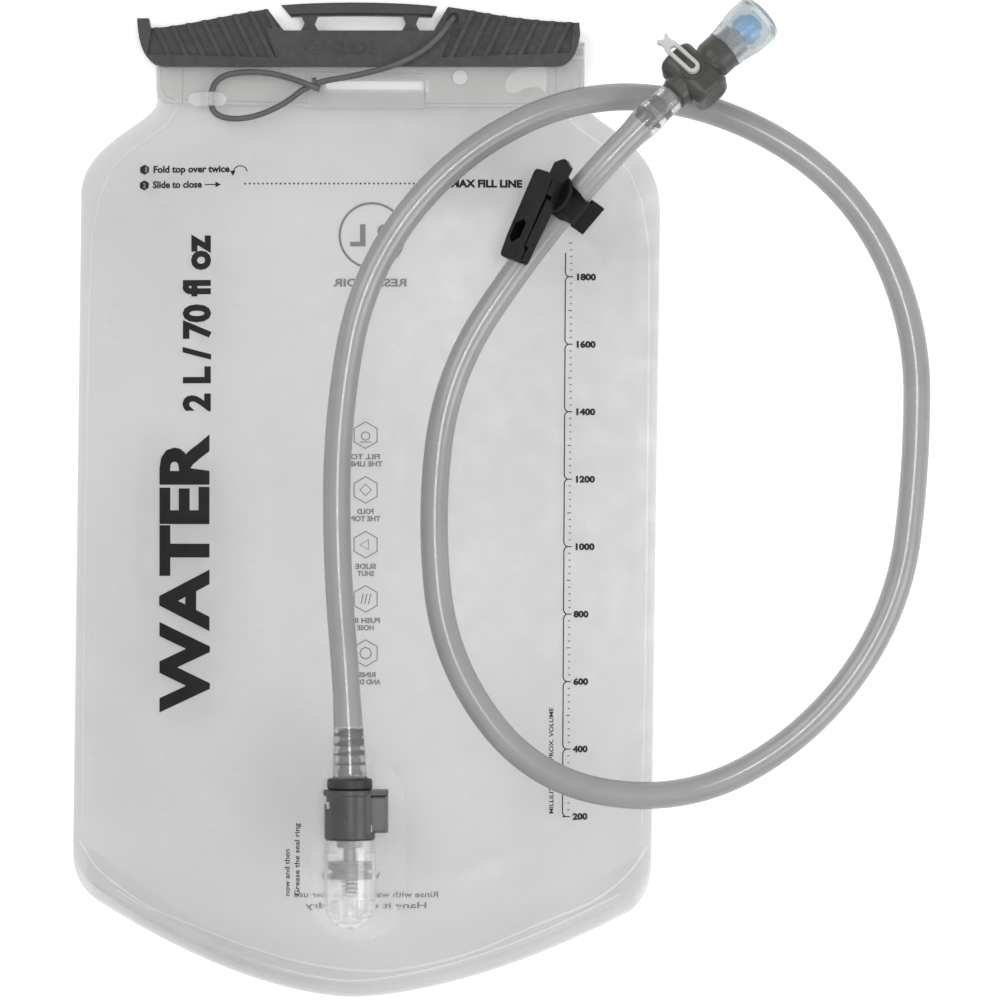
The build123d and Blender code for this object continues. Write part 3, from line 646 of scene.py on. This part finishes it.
def low_surface(x, y):
    """The back film's hem outside the front film, and the front film inside it."""
    return film_top(x, y) if y > bottom_edge(x) + HEM else THICK


SHOULDER_LEFT = [(-65.2, 136.6), (-68.7, 130.8), (-75.9, 125.6), (-82.8, 121.0), (-88.6, 114.6),
                 (-92.4, 106.0), (-95.4, 90), (-96.4, 60), (-98, -40), (-98.6, -112)]
SHOULDER_RIGHT = [(68.0, 136.6), (71.5, 130.6), (78.6, 125.4), (85.4, 120.6), (91.4, 113.4),
                  (95.2, 104), (97.8, 88), (97.8, 60), (96.8, -40), (95.4, -112)]
SEAM = [(-100.2, -116.3), (-97.0, -122.0), (-91.5, -129.0), (-75.3, -140.3), (-60, -146.6),
        (-44.3, -152.4), (-28, -157.6), (-14, -160.6), (-3, -161.9), (8, -162.0), (24, -159.2),
        (39.3, -154.7), (58.4, -146.6), (78.8, -138.2), (91, -128.6), (98.3, -118.0)]


def threaded(points, count=12):
    """A smooth line through points (Catmull-Rom)."""
    ends = [points[0]] + list(points) + [points[-1]]
    made = []
    for a, b, c, d in zip(ends, ends[1:], ends[2:], ends[3:]):
        a, b, c, d = (Vector(q) for q in (a, b, c, d))
        for n in range(count):
            t = n / count
            q = 0.5 * (2 * b + (c - a) * t + (2 * a - 5 * b + 4 * c - d) * t * t
                       + (3 * b - a - 3 * c + d) * t ** 3)
            made.append((q.x, q.y))
    return made + [tuple(points[-1])]


def ribbon(first, second, lift, surface, across=4):
    """Mesh data of a band of film between two lines with as many points."""
    rows = []
    for (x0, y0), (x1, y1) in zip(first, second):
        for n in range(across + 1):
            x, y = x0 + (x1 - x0) * n / across, y0 + (y1 - y0) * n / across
            rows.append((x, y, surface(x, y) + lift))
    wide = across + 1
    faces = [(a, a + 1, a + 1 + wide, a + wide) for n in range(len(first) - 1)
             for a in range(n * wide, n * wide + across)]
    return rows, faces


seam = threaded(SEAM)
inner = [p for p in seam if -88 < p[0] < 88]
ply = [(x, bottom_edge(x) + 6.4 + 1.6 * min(abs(x + 5) / 80, 1)) for x, y in inner]
joined("seam_line", [strip(seam[3:-3], 0.9, 0.12, low_surface)], WELD)
joined("gusset_weld", [strip(ply, 0.75, 0.12, low_surface)], WELD)
joined("gusset_shade", [ribbon(inner, ply, 0.06, low_surface)], PLY_DARK)
faint = [
    strip([(x, bottom_edge(x) + 3.7) for x, y in inner], 0.5, 0.10, low_surface),
    strip(SHOULDER_LEFT, 0.7, 0.10, film_top),
    strip(SHOULDER_RIGHT, 0.7, 0.10, film_top),
]
joined("weld_lines", faint, WELD_FAINT)


# ---------------------------------------------------------------- folded top

def plate(name, loops, low, high, material, body, bevel=0.12):
    """A flat plate from closed loops of (x, y) points; inner loops are holes."""
    curve = bpy.data.curves.new(name, "CURVE")
    curve.dimensions = "2D"
    curve.fill_mode = "BOTH"
    curve.extrude = ((high - low) / 2 - bevel) * MM
    curve.bevel_depth = bevel * MM
    curve.bevel_resolution = 1
    curve.offset = -bevel * MM
    for loop in loops:
        spline = curve.splines.new("POLY")
        spline.points.add(len(loop) - 1)
        for point, (x, y) in zip(spline.points, loop):
            point.co = (x * MM, y * MM, 0, 1)
        spline.use_cyclic_u = True
    made = bpy.data.objects.new(name, curve)
    bpy.context.collection.objects.link(made)
    bpy.context.view_layer.update()
    mesh = bpy.data.meshes.new_from_object(made)
    bpy.data.objects.remove(made)
    mesh.transform(Matrix.Translation((0, 0, (low + high) / 2 * MM)))
    mesh.materials.clear()
    mesh.materials.append(material)
    made = bpy.data.objects.new(name, mesh)
    bpy.context.collection.objects.link(made)
    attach(made, body)
    return made


def arc(x, y, radius, start, end, count=8):
    return [(x + radius * math.cos(math.radians(start + (end - start) * n / count)),
             y + radius * math.sin(math.radians(start + (end - start) * n / count)))
            for n in range(count + 1)]


def stadium(x0, x1, y, half):
    return arc(x0 + half, y, half, 90, 270) + arc(x1 - half, y, half, 270, 450)


flap_loop = arc(-67.5, 142.4, 5.0, 180, 270) + [(-20, 136.2)] + arc(70.4, 141.0, 5.0, 270, 360)
flap_loop += [(FOLD_RIGHT, 158.6), (FOLD_LEFT, 158.6)]
slot_hole = stadium(-14.1, 20.7, 143.6, 1.55)[::-1]
flap = plate("folded_top", [flap_loop, slot_hole], FLAP_Z - 0.9, FLAP_Z, FLAP, "reservoir")
patch_loop = [(-20.4, 135.9), (20.4, 135.7), (20.4, 147.6), (-20.4, 148.2)]
patch = plate("slot_patch", [patch_loop, slot_hole], FLAP_Z + 0.02, FLAP_Z + 0.32, FLAP,
              "reservoir", 0.1)


def fold_strip(turn_y=157.0, turn_steps=12, columns=40):
    """The turn of the fold, and the leg under it."""
    points, faces = [], []
    profile = [(FOLD_LEG + 0.05, 3.1), (turn_y, 3.1)]
    middle = (NECK_LIFT + FLAP_Z) / 2
    half = (FLAP_Z - NECK_LIFT) / 2 - 0.45
    for n in range(1, turn_steps):
        angle = math.radians(-90 + 180 * n / turn_steps)
        profile.append((turn_y + half * math.cos(angle), middle + half * math.sin(angle)))
    profile.append((turn_y, FLAP_Z - 0.45))
    for n in range(columns + 1):
        x = FOLD_LEFT + (FOLD_RIGHT - FOLD_LEFT) * n / columns
        points += [(x, y, z) for y, z in profile]
    wide = len(profile)
    for n in range(columns):
        for k in range(wide - 1):
            a = n * wide + k
            faces.append((a, a + wide, a + wide + 1, a + 1))
    return mesh_object("top_fold", points, faces, FLAP, "reservoir")


fold = fold_strip()
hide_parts("closure_flap")


def flap_level(x, y):
    return FLAP_Z


# The dark lines along the flap's welds are painted shadow.
marks = [
    strip([(-63.5, 137.5), (-63.5, 150)], 0.35, 0.06, flap_level),
    strip([(65.6, 141.5), (65.6, 150)], 0.35, 0.06, flap_level),
    strip([(-70.9, 150), (-70.9, 143), (-68.8, 139.4), (-66, 138.8)], 0.3, 0.06, flap_level),
    strip([(-63, 138.6), (-20.6, 137.6)], 0.3, 0.06, flap_level),
    strip([(20.6, 137.3), (70, 137.3), (73.6, 140.4), (73.8, 150)], 0.3, 0.06, flap_level),
]
joined("flap_weld_shadow_lines", marks, WELD_DARK)

dot_loop = arc(32.4, 146.4, 2.6, 0, 350, 30)
dot = plate("flap_dot", [dot_loop], FLAP_Z + 0.02, FLAP_Z + 0.3, WELD, "reservoir", 0.1)
lobe_loop = threaded([
    (47.9, 143.3), (48.7, 145.9), (50.8, 148.3), (53.9, 149.6), (57.6, 150.1), (61.9, 149.6),
    (62.1, 141.1), (60.3, 142.5), (57.6, 143.0), (55.0, 142.5), (52.3, 141.1), (50.2, 140.7),
    (48.4, 141.7), (47.9, 143.3),
], 4)[:-1]
lobe = plate("flap_lobe", [lobe_loop], FLAP_Z + 0.02, FLAP_Z + 0.2, WELD_FAINT, "reservoir", 0.05)


CAPITAL = 1.42            # font size that makes a capital letter one unit tall


def embossed(name, text, x, y, size, level, material, body):
    """Raised lettering on a moulding."""
    curve = bpy.data.curves.new(name, "FONT")
    curve.body = text
    curve.size = size * CAPITAL * MM
    curve.extrude = 0.00022
    curve.bevel_depth = 0.00010
    curve.bevel_resolution = 1
    curve.resolution_u = 3
    curve.space_character = 1.15
    holder = bpy.data.objects.new(name, curve)
    bpy.context.collection.objects.link(holder)
    bpy.context.view_layer.update()
    mesh = bpy.data.meshes.new_from_object(holder)
    bpy.data.objects.remove(holder)
    mesh.transform(Matrix.Translation((x * MM, y * MM, level * MM)))
    mesh.materials.clear()
    mesh.materials.append(material)
    made = bpy.data.objects.new(name, mesh)
    bpy.context.collection.objects.link(made)
    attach(made, body)
    return made


word = embossed("slide_lettering", "SLIDE", -12.0, 154.4, 4.0, 10.3, SLIDE, "slide")
arrow_loop = [(-21.6, 156.4), (-18.2, 158.9), (-18.2, 157.1), (-14.6, 157.1), (-14.6, 155.7),
              (-18.2, 155.7), (-18.2, 153.9)]
arrow = plate("slide_arrow", [arrow_loop], 10.2, 10.6, SLIDE, "slide", 0.1)


# ---------------------------------------------------------------- tether's tab

def tab_mesh(left=-61.6, right=-48.2, middle=138.8, columns=24):
    """A narrow loop of film welded to the flap at both sides of the tether."""
    points, faces = [], []
    across = (136.4, 137.4, 139.0, 140.4, 141.2)
    for n in range(columns + 1):
        x = left + (right - left) * n / columns
        hump = math.exp(-((x + 53.9) / 2.3) ** 2)
        z = FLAP_Z + 0.35 + 3.0 * min(hump * 1.25, 1.0)
        end = 0.75 * max(0, 1 - min(x - left, right - x) / 2.2) ** 2
        for y in across:
            points.append((x, middle + (y - middle) * (1 - end), z - 0.02 * (y - middle) ** 2))
    wide = len(across)
    for n in range(columns):
        for k in range(wide - 1):
            a = n * wide + k
            faces.append((a, a + wide, a + wide + 1, a + 1))
    made = mesh_object("tether_loop_tab", points, faces, TAB, "reservoir")
    thick = made.modifiers.new("thickness", "SOLIDIFY")
    thick.thickness = 0.0005
    thick.offset = 0
    return made


tab = tab_mesh()
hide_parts("tether_tab")


# ---------------------------------------------------------------- print

def lettering(text, size, bold):
    """Mesh data of flat text with its baseline's start at the origin."""
    curve = bpy.data.curves.new("text", "FONT")
    curve.body = text
    curve.size = size * CAPITAL * MM
    curve.offset = bold * MM
    curve.resolution_u = 3
    holder = bpy.data.objects.new("text", curve)
    bpy.context.collection.objects.link(holder)
    bpy.context.view_layer.update()
    mesh = bpy.data.meshes.new_from_object(holder)
    bpy.data.objects.remove(holder)
    points = [tuple(v.co * PER_METRE) for v in mesh.vertices]
    faces = [tuple(p.vertices) for p in mesh.polygons]
    bpy.data.meshes.remove(mesh)
    return points, faces


def fitted(text, x, y, size, width, turn=0.0, bold=0.0, mirror=False):
    """Text stretched so that it is as wide as its place, in the bag's plan."""
    points, faces = lettering(text, size, bold)
    natural = max(p[0] for p in points) - min(p[0] for p in points)
    factor = (-width if mirror else width) / natural
    c, s = math.cos(math.radians(turn)), math.sin(math.radians(turn))
    made = [(x + p[0] * factor * c - p[1] * s, y + p[0] * factor * s + p[1] * c, 0)
            for p in points]
    return made, faces


def disc(x, y, radius, sides, inner=0.0, start=0.0):
    """Mesh data of a disc, or of a ring with an inner radius; few sides make a polygon."""
    points = [(x + radius * math.cos(start + 2 * math.pi * n / sides),
               y + radius * math.sin(start + 2 * math.pi * n / sides), 0) for n in range(sides)]
    if not inner:
        return points, [tuple(range(sides))]
    points += [(x + inner * math.cos(start + 2 * math.pi * n / sides),
                y + inner * math.sin(start + 2 * math.pi * n / sides), 0) for n in range(sides)]
    faces = [(n, (n + 1) % sides, sides + (n + 1) % sides, sides + n) for n in range(sides)]
    return points, faces


def line(points, width):
    """Mesh data of a printed line."""
    flat, faces = strip(points, width, 0, lambda x, y: 0)
    return [(x, y, 0) for x, y, _ in flat], faces


def printed(name, pieces, surface, lift, material, cell=3.0):
    """Print on a film: the flat shapes are cut into small cells and laid on the surface."""
    whole = bmesh.new()
    for points, faces in pieces:
        verts = [whole.verts.new((p[0], p[1], 0)) for p in points]
        for face in faces:
            if len(set(face)) > 2:
                try:
                    whole.faces.new([verts[i] for i in face])
                except ValueError:
                    pass
    low = Vector((min(v.co.x for v in whole.verts), min(v.co.y for v in whole.verts)))
    high = Vector((max(v.co.x for v in whole.verts), max(v.co.y for v in whole.verts)))
    for axis in (0, 1):
        at = math.ceil(low[axis] / cell) * cell
        while at < high[axis]:
            co, no = Vector((0, 0, 0)), Vector((0, 0, 0))
            co[axis], no[axis] = at, 1
            geometry = list(whole.verts) + list(whole.edges) + list(whole.faces)
            bmesh.ops.bisect_plane(whole, geom=geometry, plane_co=co, plane_no=no)
            at += cell
    for v in whole.verts:
        v.co.z = surface(v.co.x, v.co.y) + lift
        v.co *= MM
    bmesh.ops.recalc_face_normals(whole, faces=whole.faces)
    if sum(f.normal.z for f in whole.faces) < 0:
        bmesh.ops.reverse_faces(whole, faces=whole.faces)
    mesh = bpy.data.meshes.new(name)
    whole.to_mesh(mesh)
    whole.free()
    mesh.materials.append(material)
    made = bpy.data.objects.new(name, mesh)
    bpy.context.collection.objects.link(made)
    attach(made, "reservoir")
    return made


SCALE_SPINE = 68.4
SCALE_FOOT = -109.0
SCALE_STEP = 23.3
SCALE_MARKS = 9
SCALE_LINE = 0.38
TICK_LINE = 0.28
ICON_LINE = 0.35
BADGES = ((1, 114.6), (2, 109.1))   # number and height of the two folding steps
ICON_X = -0.4


def scale_print():
    """The volume scale: a brace at each 200 ml, with numerals and fine ticks."""
    pieces = []
    for n in range(1, SCALE_MARKS + 1):
        y = SCALE_FOOT + SCALE_STEP * (n - 1)
        x = SCALE_SPINE + 0.5 * (n - 5) / 4
        top = y + (SCALE_STEP if n < SCALE_MARKS else 9.5)
        pieces.append(line([(x - 0.15, y + 1.3), (x, top - 1.3)], SCALE_LINE))
        for side in (-1, 1):
            if side < 0 and n == 1:
                continue
            bend = [(x - 0.15, y + side * 1.4), (x - 0.05, y + side * 0.5), (x + 0.9, y)]
            pieces.append(line([bezier(bend, k / 6) for k in range(7)], SCALE_LINE))
        pieces.append(line([(x + 0.8, y), (x + 2.5, y)], SCALE_LINE))
        pieces.append(fitted(str(200 * n), x + 3.4, y - 1.05, 2.1, 6.6 if n > 4 else 5.2, 0, 0.16))
        for k in range(1, 10 if n < SCALE_MARKS else 6):
            wide = 1.3 if k == 5 else 0.75
            tick_y = y + SCALE_STEP * k / 10
            pieces.append(line([(x + 2.3 - wide, tick_y), (x + 2.3, tick_y)], TICK_LINE))
    foot = [(SCALE_SPINE - 0.6, SCALE_FOOT), (SCALE_SPINE + 0.2, SCALE_FOOT)]
    pieces.append(line(foot, SCALE_LINE))
    return pieces


def front_print():
    """The scale, the fill line, the folding steps and the large words."""
    pieces = scale_print()
    pieces.append(fitted("MILLILITRES / APPROX. VOLUME", 64.6, -108.0, 1.45, 36.5, 90, 0.04))
    pieces.append(fitted("MAX FILL LINE", 29.2, 108.1, 2.5, 24.6, 0, 0.18))
    for n in range(47):
        pieces.append(disc(-41.6 + 1.53 * n, 109.3, 0.34, 8))
    for _, y in BADGES:
        pieces.append(disc(-76.8, y, 1.8, 6, 0, math.pi / 6))
    pieces.append(fitted("Fold top over twice", -73.8, 113.5, 2.35, 26.6, 0, 0.13))
    pieces.append(fitted("Slide to close", -73.8, 108.1, 2.35, 17.2, 0, 0.13))
    pieces.append(line(arc(-43.4, 113.2, 2.5, 10, 170, 14), ICON_LINE))
    pieces.append(([(-46.9, 113.9, 0), (-45.0, 113.9, 0), (-45.9, 112.0, 0)], [(0, 1, 2)]))
    pieces.append(line([(-55.6, 109.1), (-51.2, 109.1)], ICON_LINE))
    pieces.append(([(-51.9, 110.1, 0), (-50.0, 109.1, 0), (-51.9, 108.1, 0)], [(0, 1, 2)]))
    pieces.append(fitted("WATER", -54.8, -71.5, 16.2, 96.0, 90, 0.9))
    pieces.append(fitted("2 L / 70 fl oz", -54.0, 31.0, 8.9, 61.0, 90, 0.55))
    pieces.append(fitted("Grease the seal ring", -22.8, -136.0, 1.75, 25.0, 90, 0.04))
    pieces.append(fitted("now and then", -26.2, -136.0, 1.75, 16.0, 90, 0.04))
    return pieces


def back_print():
    """Seen through the bag, so it reads backwards."""
    pieces = [disc(1.8, 92.0, 11.6, 40, 10.8)]
    pieces.append(fitted("2 L", 8.8, 88.6, 7.2, 14.6, 0, 0.35, True))
    pieces.append(fitted("RESERVOIR", 14.0, 74.4, 2.6, 25.5, 0, 0.12, True))
    steps = (
        (22.8, "cup", ("FILL TO", "THE LINE")), (3.8, 4, ("FOLD", "THE TOP")),
        (-15.2, 3, ("SLIDE", "SHUT")), (-34.0, "strokes", ("PUSH IN", "HOSE")),
        (-52.8, 8, ("RINSE", "AND DRY")),
    )
    for n, (y, icon, lines) in enumerate(steps):
        pieces.append(disc(ICON_X, y, 4.8, 6, 4.4, math.pi / 2))
        if icon == "cup":
            pieces.append(disc(ICON_X, y - 0.3, 1.6, 20, 1.25))
            pieces.append(line([(-2.3, y - 2.4), (1.5, y - 2.4)], ICON_LINE))
        elif icon == "strokes":
            for k in range(3):
                foot_x = -2.0 + 1.3 * k
                pieces.append(line([(foot_x, y - 1.8), (foot_x + 0.8, y + 1.8)], ICON_LINE))
        else:
            pieces.append(disc(ICON_X, y, 2.2, icon, 1.8, math.pi * n / 2))
        for k, words in enumerate(lines):
            wide = 1.45 * len(words)
            pieces.append(fitted(words, ICON_X + wide / 2, y - 8.3 - 2.5 * k, 1.7, wide, 0, 0.1,
                                 True))
    pieces.append(fitted("Wash by hand", 4.6, -131.0, 2.2, 20.0, 0, 0.06, True))
    pieces.append(fitted("Rinse with warm water after use", 25.0, -137.4, 2.0, 50.0, 0, 0.05,
                         True))
    pieces.append(fitted("Hang it open to dry", 21.0, -141.2, 2.0, 42.0, 0, 0.05, True))
    return pieces


printed("front_print", front_print(), film_top, 0.08, INK)
numerals = [fitted(str(n), -77.25, y - 0.85, 1.7, 0.8 if n == 1 else 1.0, 0, 0.12)
            for n, y in BADGES]
printed("badge_numerals", numerals, film_top, 0.14, FILM)
printed("back_print", back_print(), lambda x, y: back_height(y), 0.42, INK_BEHIND, 12.0)


# ---------------------------------------------------------------- materials of the CAD pieces

finishes = {
    SLIDE: ["slide_closure"],
    TETHER: ["tether_knot", "tether_eye"],
    COUPLING: ["coupling_housing"],
    BUTTON: ["release_button"],
    PLUG: ["hose_plug", "shutoff_poppet"],
    PORT: ["port_body"],
    STEEL: ["button_spring", "poppet_spring", "clip_spring"],
    RUBBER: ["plug_oring", "poppet_seal", "stem_seal_ring", "core_oring"],
    VALVE: ["valve_body", "valve_stem", "shutoff_core"],
    LEVER: ["shutoff_lever"],
    BITE: ["mouthpiece"],
    BLUE: ["bite_core"],
    SADDLE: ["clip_collar", "clip_rivet"],
    CLIP: ["clip_base_jaw", "clip_jaw", "clip_pin"],
    FLAP: ["front_closure_rail", "back_closure_rail"],
}
for material, nodes in finishes.items():
    for node in nodes:
        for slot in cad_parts[node].material_slots:
            slot.material = material
for node in ("port_body", "mouthpiece"):
    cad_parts[node].visible_shadow = False


# ---------------------------------------------------------------- floor and light

def floor():
    bpy.ops.mesh.primitive_plane_add(size=6, location=(0, 0, -0.0002))
    made = bpy.context.object
    made.name = "floor"
    material, tree, shader = new_material("floor", (0.93, 0.93, 0.93), 0.8, Emission_Strength=0.20)
    shader.inputs["Emission Color"].default_value = (1, 1, 1, 1)
    made.data.materials.append(material)


def area_light(name, place, size, power, target=(0.03, 0, 0)):
    data = bpy.data.lights.new(name, "AREA")
    data.shape = "RECTANGLE"
    data.size, data.size_y = size
    data.energy = power
    made = bpy.data.objects.new(name, data)
    made.location = place
    made.rotation_euler = (Vector(target) - Vector(place)).to_track_quat("-Z", "Y").to_euler()
    bpy.context.collection.objects.link(made)


floor()
world = bpy.data.worlds.new("studio")
bpy.context.scene.world = world
world.use_nodes = True
world.node_tree.nodes["Background"].inputs["Color"].default_value = (1, 1, 1, 1)
world.node_tree.nodes["Background"].inputs["Strength"].default_value = 0.60
area_light("key", (-0.75, 0.75, 1.25), (0.9, 0.9), 8)
area_light("fill", (0.95, -0.45, 0.8), (0.7, 0.7), 6.5)
area_light("top", (0.16, 0.06, 1.5), (0.34, 0.34), 5.5)
